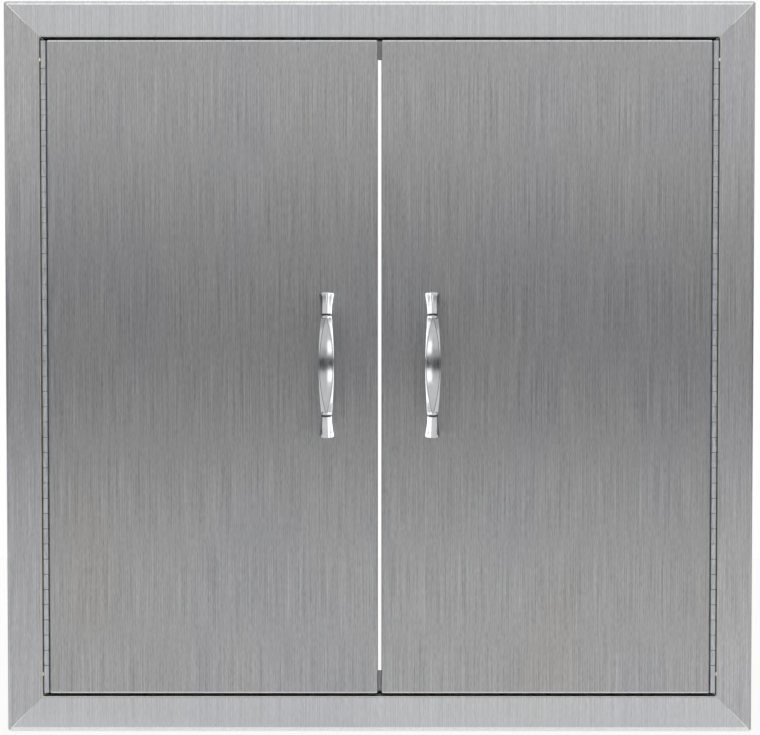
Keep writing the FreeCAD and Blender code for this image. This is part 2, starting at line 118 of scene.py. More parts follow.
def belt_ground_stainless(name, dark, light, roughness):
    """Stainless sheet, ground on a belt to a straight upright grain.

    The eye sees fine upright lines of uneven brightness, soft wider streaks, and
    reflections drawn out sideways. The real scratches are 0.05 to 0.1 mm wide,
    too fine to show here, so they are drawn in bundles 0.38 mm wide and 80 mm long,
    broken up by nicks 6 mm long.
    """
    material, tree, shader = bare_finish(name, 1.0, roughness)
    shader.inputs["Anisotropic"].default_value = 0.85
    shader.inputs["Anisotropic Rotation"].default_value = 0.25
    scratches = marks(tree, 0.38, 80, 2.0)
    nicks = marks(tree, 0.35, 6, 1.0)
    streaks = marks(tree, 2.5, 90, 2.0)
    clouds = marks(tree, 90, 240, 1.5)
    grain = add(tree, "ShaderNodeMath", {"operation": "MULTIPLY", 1: 0.1}, {0: streaks})
    for share, lines in ((0.3, nicks), (0.6, scratches)):
        settings = {"operation": "MULTIPLY_ADD", 1: share}
        grain = add(tree, "ShaderNodeMath", settings, {0: lines, 2: grain.outputs[0]})
    steel = add(
        tree,
        "ShaderNodeValToRGB",
        {"stops": ((0.365, dark), (0.635, light))},
        {"Fac": grain.outputs[0]},
    )
    tint = add(
        tree,
        "ShaderNodeValToRGB",
        {"stops": ((0.3, "#FAFAFD"), (0.5, "#FFFFFF"), (0.7, "#FFFDFB"))},
        {"Fac": clouds},
    )
    colour = add(
        tree,
        "ShaderNodeMix",
        {"data_type": "RGBA", "blend_type": "MULTIPLY", 0: 1.0},
        {6: steel.outputs["Color"], 7: tint.outputs["Color"]},
    )
    gloss = add(
        tree,
        "ShaderNodeMapRange",
        {"From Min": 0.3, "From Max": 0.7, "To Min": roughness - 0.03, "To Max": roughness + 0.03},
        {"Value": grain.outputs[0]},
    )
    relief = add(
        tree,
        "ShaderNodeBump",
        {"Strength": 0.3, "Distance": 0.02 * MM},
        {"Height": grain.outputs[0]},
    )
    grain_way = add(tree, "ShaderNodeCombineXYZ", {"Y": 0.03, "Z": 1.0})
    wire(
        tree,
        shader,
        {
            "Base Color": colour.outputs[2],
            "Roughness": gloss.outputs[0],
            "Normal": relief.outputs[0],
            "Tangent": grain_way.outputs[0],
        },
    )
    return material


def smooth_metal(name, dark, light, roughness, wide, tall, spread=0.05):
    """Metal without a ground grain: its brightness and gloss vary softly."""
    material, tree, shader = bare_finish(name, 1.0, roughness)
    patches = marks(tree, wide, tall, 3.0)
    colour = add(
        tree, "ShaderNodeValToRGB", {"stops": ((0.32, dark), (0.68, light))}, {"Fac": patches}
    )
    between = {"To Min": roughness - spread, "To Max": roughness + spread}
    gloss = add(
        tree,
        "ShaderNodeMapRange",
        {"From Min": 0.3, "From Max": 0.7, **between},
        {"Value": patches},
    )
    relief = add(
        tree,
        "ShaderNodeBump",
        {"Strength": 0.2, "Distance": 0.02 * MM},
        {"Height": marks(tree, wide / 4, tall / 4, 2.0)},
    )
    wire(
        tree,
        shader,
        {
            "Base Color": colour.outputs["Color"],
            "Roughness": gloss.outputs[0],
            "Normal": relief.outputs[0],
        },
    )
    return material


def moulding(name, dark, light, roughness, grit, depth):
    """A moulded or pressed finish with no metal in it: an even colour with fine grit."""
    material, tree, shader = bare_finish(name, 0.0, roughness)
    shader.inputs["IOR"].default_value = 1.5
    grains = marks(tree, grit, grit, 3.0)
    colour = add(
        tree, "ShaderNodeValToRGB", {"stops": ((0.35, dark), (0.65, light))}, {"Fac": grains}
    )
    relief = add(
        tree, "ShaderNodeBump", {"Strength": 0.5, "Distance": depth * MM}, {"Height": grains}
    )
    wire(tree, shader, {"Base Color": colour.outputs["Color"], "Normal": relief.outputs[0]})
    return material


# Frame: 1.2 mm stainless sheet, ground to a straight grain. Even, light and faintly blue.
rail_face = belt_ground_stainless("belt_ground_stainless_rail", "#B2B4B6", "#D8DADD", 0.36)
# The side members get a darker copy of the same sheet: painted shade.
painted_shade_stile_face = belt_ground_stainless("belt_ground_stainless_stile_painted_shade", "#9B9B9D", "#D3D3D5", 0.385)
# Doors: the same sheet, ground coarser, so greyer and with softer reflections.
door_face = belt_ground_stainless("belt_ground_stainless_door", "#8F8F90", "#C6C6C7", 0.38)
# The top rail's outer fold: the press brake smooths the grain away, so it catches light.
bright_fold = smooth_metal("stainless_fold_smoothed_by_press", "#C0C1C2", "#D2D3D4", 0.26, 3, 30)
# The bottom rail's outer fold: brighter still, a painted highlight.
painted_highlight_bottom_fold = smooth_metal("stainless_bottom_fold_painted_highlight", "#DFE0E1", "#ECEDEE", 0.26, 3, 30)
# Folds round the opening: smoothed less, with a breath of straw colour.
opening_fold = smooth_metal("stainless_fold_of_opening", "#B2B1AB", "#C4C3BC", 0.32, 3, 30)
# Folds of the doors' upper edges: brighter than the face, a painted highlight.
painted_highlight_upper_door_fold = smooth_metal("stainless_upper_door_fold_painted_highlight", "#C2C2C4", "#D6D6D9", 0.3, 3, 30)
# Folds of the doors' lower edges: brighter again, a painted highlight.
painted_highlight_lower_door_fold = smooth_metal("stainless_lower_door_fold_painted_highlight", "#D2D2D4", "#E0E0E3", 0.3, 3, 30)
# Liners and stops: cold rolled mill finish, grey and softly cloudy.
mill_sheet = smooth_metal("mill_finish_stainless", "#AAACAD", "#B4B5B6", 0.33, 9, 60, 0.02)
# Hinge: strip rolled bright, then curled, with faint lines along its length.
hinge_strip = smooth_metal("bright_rolled_stainless", "#AEB0B3", "#CFD1D4", 0.34, 1.2, 9)
# Pin: drawn stainless wire, bright.
pin_wire = smooth_metal("drawn_stainless_wire", "#C4C6C8", "#DADBDC", 0.2, 0.8, 12)
# Corner welds: ground flush, brighter than the sheet beside them.
ground_weld = smooth_metal("ground_stainless_weld", "#E0E0DF", "#F3F3F1", 0.28, 0.8, 0.8)
# Tack welds: left as they cooled, with a straw-coloured heat tint.
tinted_weld = smooth_metal("heat_tinted_stainless_weld", "#C9C0A8", "#EDE8DA", 0.3, 0.6, 0.6)
# Handles: cast, polished and plated, almost a mirror with the faint waves of a casting.
polished_plate = smooth_metal("polished_nickel_plated_casting", "#BEC0C3", "#CACBCD", 0.13, 5, 9, 0.03)
# Their front panels: the same plate, a little darker: painted shade.
painted_shade_panel = smooth_metal("nickel_plated_panel_painted_shade", "#B2B4B6", "#BDBEC0", 0.13, 4, 12, 0.03)
# The ridges beside the panels: darker lines along them, painted shade.
ridge_shade = smooth_metal("nickel_ridge_painted_shade", "#7E8084", "#8B8D90", 0.3, 2, 6)
# Grooves round the handles: filled with dark lacquer, brownish black and dull.
groove_lacquer = moulding("dark_lacquer_in_groove", "#2C2523", "#3A322E", 0.45, 0.3, 0.01)
# Screws and strikes: bright zinc plate, slightly yellow-blue and soft.
zinc_plate = smooth_metal("bright_zinc_plated_steel", "#BFC3C4", "#D2D2CC", 0.3, 2, 2)
# Catch body: moulded nylon, near black, with a fine matt grit.
nylon = moulding("moulded_black_nylon", "#17181A", "#222325", 0.5, 0.35, 0.03)
# Magnets: pressed ferrite, charcoal grey, chalky.
ferrite = moulding("pressed_ferrite", "#303034", "#45454A", 0.62, 0.5, 0.05)


# Modelling by hand


def deselect():
    """Leaves nothing selected, because an operator acts on all that is."""
    bpy.ops.object.select_all(action="DESELECT")


def put_down(piece):
    """Leaves edit mode."""
    bpy.ops.object.mode_set(mode="OBJECT")
    return piece


def only(piece):
    """Makes one piece the only selected and the active one."""
    if bpy.context.object and bpy.context.object.mode == "EDIT":
        put_down(piece)
    deselect()
    piece.select_set(True)
    bpy.context.view_layer.objects.active = piece


def settle():
    """Puts the selected piece's place, turn and size in its mesh."""
    bpy.ops.object.transform_apply(location=True, rotation=True, scale=True)


def begin(name):
    """Names the new primitive, settles it and goes into edit mode."""
    piece = bpy.context.active_object
    piece.name = piece.data.name = name
    settle()
    bpy.ops.object.mode_set(mode="EDIT")
    return piece


def block(name, low, high):
    """A cube primitive stretched between two corners, in edit mode."""
    deselect()
    low, high = Vector(low), Vector(high)
    bpy.ops.mesh.primitive_cube_add(size=1, location=(low + high) / 2)
    bpy.context.active_object.scale = high - low
    return begin(name)


def bar(name, sides, radius, foot, head):
    """A cylinder primitive between two points, in edit mode."""
    deselect()
    foot, head = Vector(foot), Vector(head)
    way = head - foot
    bpy.ops.mesh.primitive_cylinder_add(
        vertices=sides,
        radius=radius,
        depth=way.length,
        location=(foot + head) / 2,
        rotation=way.to_track_quat("Z", "Y").to_euler(),
    )
    return begin(name)


def ball(name, segments, rings, radius, place):
    """A sphere primitive, in edit mode."""
    deselect()
    bpy.ops.mesh.primitive_uv_sphere_add(
        segments=segments, ring_count=rings, radius=radius, location=place
    )
    return begin(name)


def pick(kind, test):
    """Selects the vertices, edges or faces that pass a test on their middle and themselves."""
    bpy.ops.mesh.select_mode(type=kind)
    bpy.ops.mesh.select_all(action="DESELECT")
    mesh = bmesh.from_edit_mesh(bpy.context.active_object.data)
    for part in {"VERT": mesh.verts, "EDGE": mesh.edges, "FACE": mesh.faces}[kind]:
        if kind == "FACE":
            middle = part.calc_center_median()
        elif kind == "EDGE":
            middle = (part.verts[0].co + part.verts[1].co) / 2
        else:
            middle = part.co
        if test(middle, part):
            part.select_set(True)
    bmesh.update_edit_mesh(bpy.context.active_object.data)


def pick_all():
    """Selects the whole mesh."""
    bpy.ops.mesh.select_all(action="SELECT")


def near(a, b):
    """Whether two lengths are the same to 0.02 mm."""
    return abs(a - b) < 0.02 * MM


def along(edge, axis):
    """Whether an edge runs along X, Y or Z, given as 0, 1 or 2."""
    way = edge.verts[1].co - edge.verts[0].co
    return abs(way[axis]) > 0.999 * way.length


def push(y=0.0, z=0.0):
    """Extrudes what is selected by so many metres."""
    bpy.ops.mesh.extrude_region_move(TRANSFORM_OT_translate={"value": (0, y, z)})


def round_over(width, segments):
    """Bevels the selected edges, or those of the selected faces."""
    bpy.ops.mesh.bevel(offset=width, segments=segments, affect="EDGES")


def outwards():
    """Turns all faces outwards."""
    pick_all()
    bpy.ops.mesh.normals_make_consistent(inside=False)


def coat(piece, *finishes):
    """Gives a piece its finishes, the first of them all over."""
    for finish in finishes:
        piece.data.materials.append(finish)


def paint(piece, place):
    """Gives the selected faces the finish in that place of the piece's list."""
    piece.active_material_index = place
    bpy.ops.object.material_slot_assign()


def apply(piece, kind, **settings):
    """Adds a modifier, sets it and applies it."""
    only(piece)
    modifier = piece.modifiers.new(kind.lower(), kind)
    for name, value in settings.items():
        setattr(modifier, name, value)
    bpy.ops.object.modifier_apply(modifier=modifier.name)
    return piece


def cut(piece, *cutters):
    """Cuts other shapes out of a piece and throws them away."""
    for cutter in cutters:
        apply(piece, "BOOLEAN", operation="DIFFERENCE", solver="EXACT", object=cutter)
        bpy.data.objects.remove(cutter, do_unlink=True)
    return piece


def ease(piece, width, segments=2, angle=50):
    """Rounds a piece's edges a little where they are sharper than so many degrees."""
    settings = {"limit_method": "ANGLE", "angle_limit": math.radians(angle)}
    return apply(piece, "BEVEL", width=width, segments=segments, **settings)


def copy(piece, name, move=(0, 0, 0)):
    """A copy with its own mesh, moved by so many metres."""
    only(piece)
    bpy.ops.object.duplicate(linked=False)
    twin = bpy.context.active_object
    twin.name = twin.data.name = name
    twin.location = move
    settle()
    return twin


def flipped(piece, name, axis, about=0.0):
    """A copy turned over along X or Z, given as 0 or 2, about a plane."""
    twin = copy(piece, name)
    bpy.ops.object.mode_set(mode="EDIT")
    pick_all()
    size = [1, 1, 1]
    centre = [0, 0, 0]
    size[axis] = -1
    centre[axis] = about
    bpy.ops.transform.resize(value=size, center_override=centre)
    bpy.ops.mesh.flip_normals()
    return put_down(twin)


def joined(name, pieces):
    """Several pieces made one."""
    only(pieces[0])
    for piece in pieces[1:]:
        piece.select_set(True)
    bpy.ops.object.join()
    pieces[0].name = pieces[0].data.name = name
    return pieces[0]


def turned(piece, x=0.0, y=0.0, move=(0, 0, 0)):
    """Turns a piece about the origin by so many degrees, then moves it, in its mesh."""
    only(piece)
    piece.rotation_euler = (math.radians(x), math.radians(y), 0)
    piece.location = move
    settle()
    return piece


def done(piece, finish, body, node, angle=35):
    """Smooths a finished piece, gives it its finish and ties it to its body and node."""
    only(piece)
    if finish:
        piece.data.materials.clear()
        coat(piece, finish)
    bpy.ops.object.shade_smooth_by_angle(angle=math.radians(angle))
    apply(piece, "WEIGHTED_NORMAL", keep_sharp=True, weight=80)
    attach(piece, body)
    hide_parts(node)


FRAME_SIDES = {"left": "frame", "right": "frame"}
DOOR_SIDES = {"left": "door_left", "right": "door_right"}
FRAME_ENDS = {"bottom": "frame", "top": "frame"}


def done_twice(node, piece, finish, bodies, angle=35):
    """Flips a left piece to the right, or a bottom one to the top, and finishes both."""
    first, second = bodies
    if second == "right":
        twin = flipped(piece, f"right_{node}", 0)
    else:
        twin = flipped(piece, f"top_{node}", 2, MIDDLE)
    piece.name = piece.data.name = f"{first}_{node}"
    for which, one in ((first, piece), (second, twin)):
        done(one, finish, bodies[which], f"{node}_{which}", angle)


# Wall frame

STILE_LOW, STILE_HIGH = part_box("frame_left_stile")
FRAME_WIDE = -2 * STILE_LOW.x
FRAME_TALL = cad_box[1].z
FLANGE = STILE_HIGH.x - STILE_LOW.x
FRONT = STILE_LOW.y
BACK = STILE_HIGH.y
FRAME_SHEET = 1.2 * MM
OUTER_FOLD = 3.8 * MM
OPENING_FOLD = 1.4 * MM
# What is ground off the tip of each corner.
TIP_GROUND = 1.8 * MM
SHEET_EASE = 0.15 * MM
FIXING_SPACING = 400 * MM
FIXING_RADIUS = 2.6 * MM
FIXING_Y = 26 * MM
DRILL_REACH = 3 * MM


def frame_member(name, length, face, outer):
    """A strip folded back along both long edges and mitred at both ends.

    It stands on the origin with its outer edge at X 0 and its middle at Z 0.
    """
    deselect()
    bpy.ops.mesh.primitive_plane_add(
        size=1, location=(FLANGE / 2, FRONT, 0), rotation=(math.radians(90), 0, 0)
    )
    bpy.context.active_object.scale = (FLANGE, length, 1)
    piece = begin(name)
    coat(piece, face, outer, opening_fold)
    pick("EDGE", lambda middle, edge: near(middle.x, 0))
    push(y=-FRONT)
    pick("EDGE", lambda middle, edge: near(middle.x, FLANGE))
    push(y=BACK - FRONT)
    for x, radius, place in ((0, OUTER_FOLD, 1), (FLANGE, OPENING_FOLD, 2)):
        pick(
            "EDGE",
            lambda middle, edge: near(middle.x, x) and near(middle.y, FRONT) and along(edge, 2),
        )
        round_over(radius, 8)
        paint(piece, place)
    for end in (-1, 1):
        tip = end * length / 2
        for x, way in ((0, 1), (TIP_GROUND, -1)):
            pick_all()
            bpy.ops.mesh.bisect(plane_co=(x, 0, tip), plane_no=(way, 0, end), clear_outer=True)
    return apply(piece, "SOLIDIFY", thickness=FRAME_SHEET, offset=-1, use_even_offset=True)


def fixing_drill(side):
    """A drill for the left stile's lower or upper fixing hole."""
    x = STILE_LOW.x + FLANGE
    z = MIDDLE + side * FIXING_SPACING / 2
    start, end = (x - DRILL_REACH, FIXING_Y, z), (x + DRILL_REACH, FIXING_Y, z)
    return put_down(bar("fixing_drill", 32, FIXING_RADIUS, start, end))


def corner_weld():
    """The bottom left corner's ground bead, wide at the outer end, standing a little proud."""
    start, end = 3.0 * MM, 19.8 * MM
    half_wide, proud, deep = 0.45 * MM, 0.06 * MM, 1.0 * MM
    length = (end - start) * math.sqrt(2)
    piece = block(
        "corner_weld",
        (-length / 2, FRONT - proud, -half_wide),
        (length / 2, FRONT + deep, half_wide),
    )
    pick("VERT", lambda middle, vertex: middle.x > 0)
    bpy.ops.transform.resize(value=(1, 1, 0.5), center_override=(0, 0, 0))
    pick("EDGE", lambda middle, edge: near(middle.y, FRONT - proud))
    round_over(0.2 * MM, 4)
    put_down(piece)
    middle = (start + end) / 2
    return turned(piece, y=-45, move=(STILE_LOW.x + middle, 0, middle))


stile = frame_member("frame_stile_left", FRAME_TALL, painted_shade_stile_face, painted_shade_stile_face)
turned(stile, move=(STILE_LOW.x, 0, MIDDLE))
cut(stile, fixing_drill(-1), fixing_drill(1))
ease(stile, SHEET_EASE)
rail = turned(frame_member("frame_rail_bottom", FRAME_WIDE, rail_face, bright_fold), y=-90)
ease(rail, SHEET_EASE)
right_stile = flipped(stile, "frame_stile_right", 0)
top_rail = flipped(rail, "frame_rail_top", 2, MIDDLE)
# Only the bottom rail's outer fold gets the painted highlight.
rail.data.materials[1] = painted_highlight_bottom_fold
done(stile, None, "frame", "frame_left_stile")
done(right_stile, None, "frame", "frame_right_stile")
done(rail, None, "frame", "frame_bottom_rail")
done(top_rail, None, "frame", "frame_top_rail")

welds = [corner_weld()]
welds.append(flipped(welds[0], "right_weld", 0))
welds += [flipped(weld, "top_weld", 2, MIDDLE) for weld in welds]
done(joined("corner_welds", welds), ground_weld, "frame", "frame_corner_welds")


# Hinges

PIN_LOW, PIN_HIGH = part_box("hinge_pin_left")
PIN_X = (PIN_LOW.x + PIN_HIGH.x) / 2
PIN_Y = (PIN_LOW.y + PIN_HIGH.y) / 2
LEAF_LOW, LEAF_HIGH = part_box("hinge_frame_leaf_left")
BARREL_RADIUS = 2.4 * MM
PITCH = 12.7 * MM
GAP = 0.3 * MM
FULL_KNUCKLES = 39
END_KNUCKLE = (LEAF_HIGH.z - LEAF_LOW.z - FULL_KNUCKLES * PITCH) / 2


def leaf_faces(side):
    """The X of a leaf's two faces, on the frame's side of the pin (-1) or on the door's (1)."""
    return sorted((PIN_X + side * 1.5 * MM, PIN_X + side * 2.7 * MM))


def knuckle(name, low, high, side):
    """One knuckle: a tube rolled round the pin, and the tongue that runs back to the leaf."""
    centre = (0, 0, (low + high) / 2)
    longer = 1 + 0.2 * MM / (high - low)
    tube = bar(name, 32, BARREL_RADIUS, (PIN_X, PIN_Y, low), (PIN_X, PIN_Y, high))
    pick("FACE", lambda middle, face: abs(face.normal.z) > 0.9)
    bpy.ops.mesh.inset(thickness=0.16 * MM)
    bpy.ops.transform.resize(value=(1, 1, longer), center_override=centre)
    bpy.ops.mesh.inset(thickness=0.99 * MM)
    bpy.ops.mesh.delete(type="ONLY_FACE")
    bpy.ops.mesh.select_mode(type="EDGE")
    bpy.ops.mesh.select_non_manifold()
    bpy.ops.mesh.bridge_edge_loops()
    pick_all()
    bpy.ops.transform.resize(value=(1, 1, 1 / longer), center_override=centre)
    outwards()
    put_down(tube)
    near_x, far_x = leaf_faces(side)
    tongue = block("tongue", (near_x, PIN_Y + 0.2 * MM, low), (far_x, PIN_Y + 3.4 * MM, high))
    pick("EDGE", lambda middle, edge: middle.y < PIN_Y + 1 * MM and along(edge, 2))
    round_over(0.5 * MM, 4)
    return joined(name, [tube, put_down(tongue)])


def hinge_leaf(name, for_frame):
    """One leaf of the left hinge: a plate with a row of knuckles along its edge."""
    side = -1 if for_frame else 1
    near_x, far_x = leaf_faces(side)
    plate = block(
        name, (near_x, PIN_Y + 2.9 * MM, LEAF_LOW.z), (far_x, LEAF_HIGH.y, LEAF_HIGH.z)
    )
    ease(plate, SHEET_EASE)
    first = LEAF_LOW.z + END_KNUCKLE + (PITCH if for_frame else 0)
    one = knuckle("knuckle", first + GAP / 2, first + PITCH - GAP / 2, side)
    count = FULL_KNUCKLES // 2 if for_frame else FULL_KNUCKLES // 2 + 1
    copies = [copy(one, "knuckle", (0, 0, 2 * i * PITCH)) for i in range(1, count)]
    pieces = [plate, one, *copies]
    if for_frame:
        low = knuckle("end_knuckle", LEAF_LOW.z, LEAF_LOW.z + END_KNUCKLE - GAP / 2, side)
        pieces += [low, flipped(low, "end_knuckle", 2, MIDDLE)]
    return joined(name, pieces)


def hinge_pin():
    """The left hinge's pin, with its ends rounded over."""
    foot, head = (PIN_X, PIN_Y, PIN_LOW.z), (PIN_X, PIN_Y, PIN_HIGH.z)
    piece = bar("hinge_pin", 32, PIN_HIGH.x - PIN_X, foot, head)
    pick("FACE", lambda middle, face: abs(face.normal.z) > 0.9)
    round_over(0.5 * MM, 4)
    return put_down(piece)


def tack_welds():
    """Three small ripples of weld metal at each end of the left hinge."""
    low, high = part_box("hinge_tack_welds_left")
    radius, sunk = 0.95 * MM, 0.85 * MM
    beads = []
    for end in (low.z + 1.6 * MM, high.z - 1.6 * MM):
        for step in (-0.75, 0.05, 0.8):
            place = ((low.x + high.x) / 2, low.y + sunk, end + step * MM)
            bead = ball("tack_weld", 20, 12, radius, place)
            pick_all()
            flatter = (1.0, 0.85, 0.85 - 0.1 * abs(step))
            bpy.ops.transform.resize(value=flatter, center_override=place)
            bpy.ops.transform.vertex_random(offset=0.04 * MM, seed=len(beads))
            beads.append(put_down(bead))
    return joined("tack_welds", beads)


frame_leaf = hinge_leaf("hinge_frame_leaf", True)
door_leaf = hinge_leaf("hinge_door_leaf", False)
done_twice("hinge_frame_leaf", frame_leaf, hinge_strip, FRAME_SIDES)
done_twice("hinge_door_leaf", door_leaf, hinge_strip, DOOR_SIDES)
done_twice("hinge_pin", hinge_pin(), pin_wire, FRAME_SIDES)
done_twice("hinge_tack_welds", tack_welds(), tinted_weld, FRAME_SIDES)


# Doors

DOOR_SHEET = 1.2 * MM
LINER_SHEET = 0.9 * MM
PAN_FOLD = 1.5 * MM


def folded_pan(name, node, sheet, opens):
    """A sheet folded up on all four sides, open to the back where opens is 1, to the front at -1."""
    low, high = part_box(node)
    piece = block(name, low, high)
    shown = low.y if opens > 0 else high.y
    pick("FACE", lambda middle, face: face.normal.y * opens > 0.9)
    bpy.ops.mesh.delete(type="ONLY_FACE")
    pick("EDGE", lambda middle, edge: near(middle.y, shown) or along(edge, 1))
    round_over(PAN_FOLD, 6)
    coat(piece, door_face, painted_highlight_upper_door_fold, painted_highlight_lower_door_fold)
    # The upper and lower folds take brighter finishes than the face: painted highlights.
    for place, way in ((1, 1), (2, -1)):
        pick(
            "FACE",
            lambda middle, face: PAN_FOLD > abs(middle.y - shown) > 0.0001 * MM
            and face.normal.z * way > 0.05,
        )
        paint(piece, place)
    apply(piece, "SOLIDIFY", thickness=sheet, offset=-1, use_even_offset=True)
    return ease(piece, 0.12 * MM, segments=1, angle=60)


def screw(name, shank):
    """A hexagon screw with a washer face. The washer's seat is at Z 0, the head above it."""
    washer = bar("washer", 48, 5 * MM, (0, 0, 0), (0, 0, 0.8 * MM))
    pick("FACE", lambda middle, face: face.normal.z > 0.9)
    round_over(0.25 * MM, 3)
    put_down(washer)

    half_flats, top = 3.5 * MM, 2.8 * MM
    corner = half_flats / math.cos(math.radians(30))
    head = bar("head", 6, corner, (0, 0, 0.4 * MM), (0, 0, top))
    pick("FACE", lambda middle, face: face.normal.z > 0.9)
    bpy.ops.mesh.inset(thickness=0.35 * MM)
    pick(
        "VERT",
        lambda middle, vertex: middle.z > top - 0.1 * MM and middle.xy.length > 3.8 * MM,
    )
    bpy.ops.transform.translate(value=(0, 0, -0.25 * MM))
    ease(head, 0.12 * MM, angle=40)

    core = bar("core", 24, 1.72 * MM, (0, 0, 0.2 * MM), (0, 0, -shank))
    pick("FACE", lambda middle, face: face.normal.z < -0.9)
    round_over(0.5 * MM, 3)
    put_down(core)

    pitch = 0.7 * MM
    deselect()
    bpy.ops.mesh.primitive_circle_add(
        vertices=3,
        radius=0.3 * MM,
        location=(1.82 * MM, 0, -shank + 0.8 * MM),
        rotation=(math.radians(90), 0, 0),
    )
    thread = put_down(begin("thread"))
    turns = int((shank - 1.2 * MM) / pitch)
    wound = {"angle": 2 * math.pi, "screw_offset": pitch, "iterations": turns}
    apply(thread, "SCREW", steps=16, render_steps=16, use_merge_vertices=True, **wound)
    bpy.ops.object.mode_set(mode="EDIT")
    bpy.ops.mesh.select_mode(type="EDGE")
    bpy.ops.mesh.select_all(action="DESELECT")
    bpy.ops.mesh.select_non_manifold()
    bpy.ops.mesh.fill_holes(sides=0)
    outwards()
    return joined(name, [washer, head, core, put_down(thread)])


HANDLE_LOW, HANDLE_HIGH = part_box("handle_left")
HANDLE_X = (HANDLE_LOW.x + HANDLE_HIGH.x) / 2
HANDLE_Z = (HANDLE_LOW.z + HANDLE_HIGH.z) / 2
POST_SPACING = 96 * MM
POST_LOW = HANDLE_Z - POST_SPACING / 2
POST_HIGH = HANDLE_Z + POST_SPACING / 2


def handle_screws():
    """The left handle's two screws, driven from the back of the door's skin."""
    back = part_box("door_skin_left")[1].y
    lower = turned(screw("handle_screw", 24 * MM), x=-90, move=(HANDLE_X, back, POST_LOW))
    upper = copy(lower, "handle_screw_top", (0, 0, POST_SPACING))
    return joined("handle_screws", [lower, upper])


def strike_plate():
    """The left door's lower strike plate: rounded corners and two spot-weld dimples."""
    low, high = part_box("strike_plate_bottom_left")
    piece = block("strike_plate", low, high)
    pick("EDGE", lambda middle, edge: along(edge, 1))
    round_over(1.5 * MM, 5)
    ease(piece, 0.2 * MM)
    dimples = []
    for x in (-11 * MM, 11 * MM):
        place = ((low.x + high.x) / 2 + x, high.y + 5.7 * MM, (low.z + high.z) / 2)
        dimples.append(put_down(ball("dimple", 32, 16, 6 * MM, place)))
    return cut(piece, *dimples)


# Handles

# The grip's middle line stands this far in front of the door's face.
REACH = 19 * MM
# The bow of the grip and half the length between its necks give the lean of its ends.
BOW = 3.7 * MM
NECK = 40.2 * MM
LEAN = math.atan(2 * BOW / NECK)
POST_RADIUS = 4 * MM
FOOT_TALL = 1.95 * MM
FOOT_FLARE = 1.25

# The lines that run along the grip, in mm from its middle line and from the island's face:
# where each is at the middle, and how far it has moved by the ends.
GRIP_HALF = 39.3
GRIP_LINES = {
    "crown": (0.0, -35.30, 0.0, 3.64),
    "ridge": (5.59, -34.85, -5.09, 3.20),
    "shoulder": (6.5, -34.31, -1.93, 5.53),
    "side": (6.5, -28.94, -1.93, 3.54),
    "back": (3.6, -25.90, -1.23, 2.82),
}
# The lines in their order round the left handle's bar, from the front, and whether each runs
# left (-1) or right (1) of its middle line. The side towards the gap stands upright and then
# slopes to the back. The other slopes to the back from its shoulder, with no line between.
GRIP_RING = (
    ("crown", 1),
    ("ridge", -1),
    ("shoulder", -1),
    ("back", -1),
    ("back", 1),
    ("side", 1),
    ("shoulder", 1),
    ("ridge", 1),
)
# How wide each line is rounded over, in mm, and the place of its finish.
GRIP_ROUNDS = {"back": (1.2, 0), "shoulder": (0.5, 0), "ridge": (0.32, 2)}


def bowed(height):
    """How far along its bow a point of the grip is: 0 at the middle and 1 at the ends."""
    return ((height - HANDLE_Z) / (GRIP_HALF * MM)) ** 2


def upright(edge):
    """Whether an edge runs along the grip."""
    way = edge.verts[1].co - edge.verts[0].co
    return abs(way.z) > 0.9 * way.length


def on_line(name):
    """A test for the edges that run along one of the grip's lines."""
    x, y, out, back = GRIP_LINES[name]

    def test(middle, edge):
        place = edge.verts[0].co
        share = bowed(place.z)
        right = near(abs(place.x - HANDLE_X), (x + out * share) * MM)
        return right and near(place.y, (y + back * share) * MM) and upright(edge)

    return test


def grip():
    """The grip: an eight-sided bar with its lines bowed, its ridges eased and its panel crowned.

    Each line bows by an amount of its own, which no modelling tool gives, so the
    cuts across the bar are set on the lines one by one.
    """
    middle_y = FRONT - REACH
    foot = (HANDLE_X, middle_y, HANDLE_Z - GRIP_HALF * MM)
    head = (HANDLE_X, middle_y, HANDLE_Z + GRIP_HALF * MM)
    sides = len(GRIP_RING)
    piece = bar("grip", sides, 6 * MM, foot, head)
    pick("EDGE", lambda middle, edge: upright(edge))
    bpy.ops.mesh.subdivide(number_cuts=39)
    mesh = bmesh.from_edit_mesh(piece.data)
    for vertex in mesh.verts:
        place = vertex.co
        turn = math.atan2(HANDLE_X - place.x, middle_y - place.y)
        name, way = GRIP_RING[round(turn / math.tau * sides) % sides]
        x, y, out, back = GRIP_LINES[name]
        share = bowed(place.z)
        place.x = HANDLE_X + way * (x + out * share) * MM
        place.y = (y + back * share) * MM
    bmesh.update_edit_mesh(piece.data)
    outwards()
    coat(piece, polished_plate, painted_shade_panel, ridge_shade)
    # The front panel's faces take the darker copy of the plate: painted shade.
    pick("FACE", lambda middle, face: abs(face.normal.x) < 0.12 and face.normal.y < -0.9)
    paint(piece, 1)
    # The rounded strips along the ridges take finish 2, a painted shade line.
    for name, (width, finish) in GRIP_ROUNDS.items():
        pick("EDGE", on_line(name))
        round_over(width * MM, 2)
        paint(piece, finish)
    return put_down(piece)


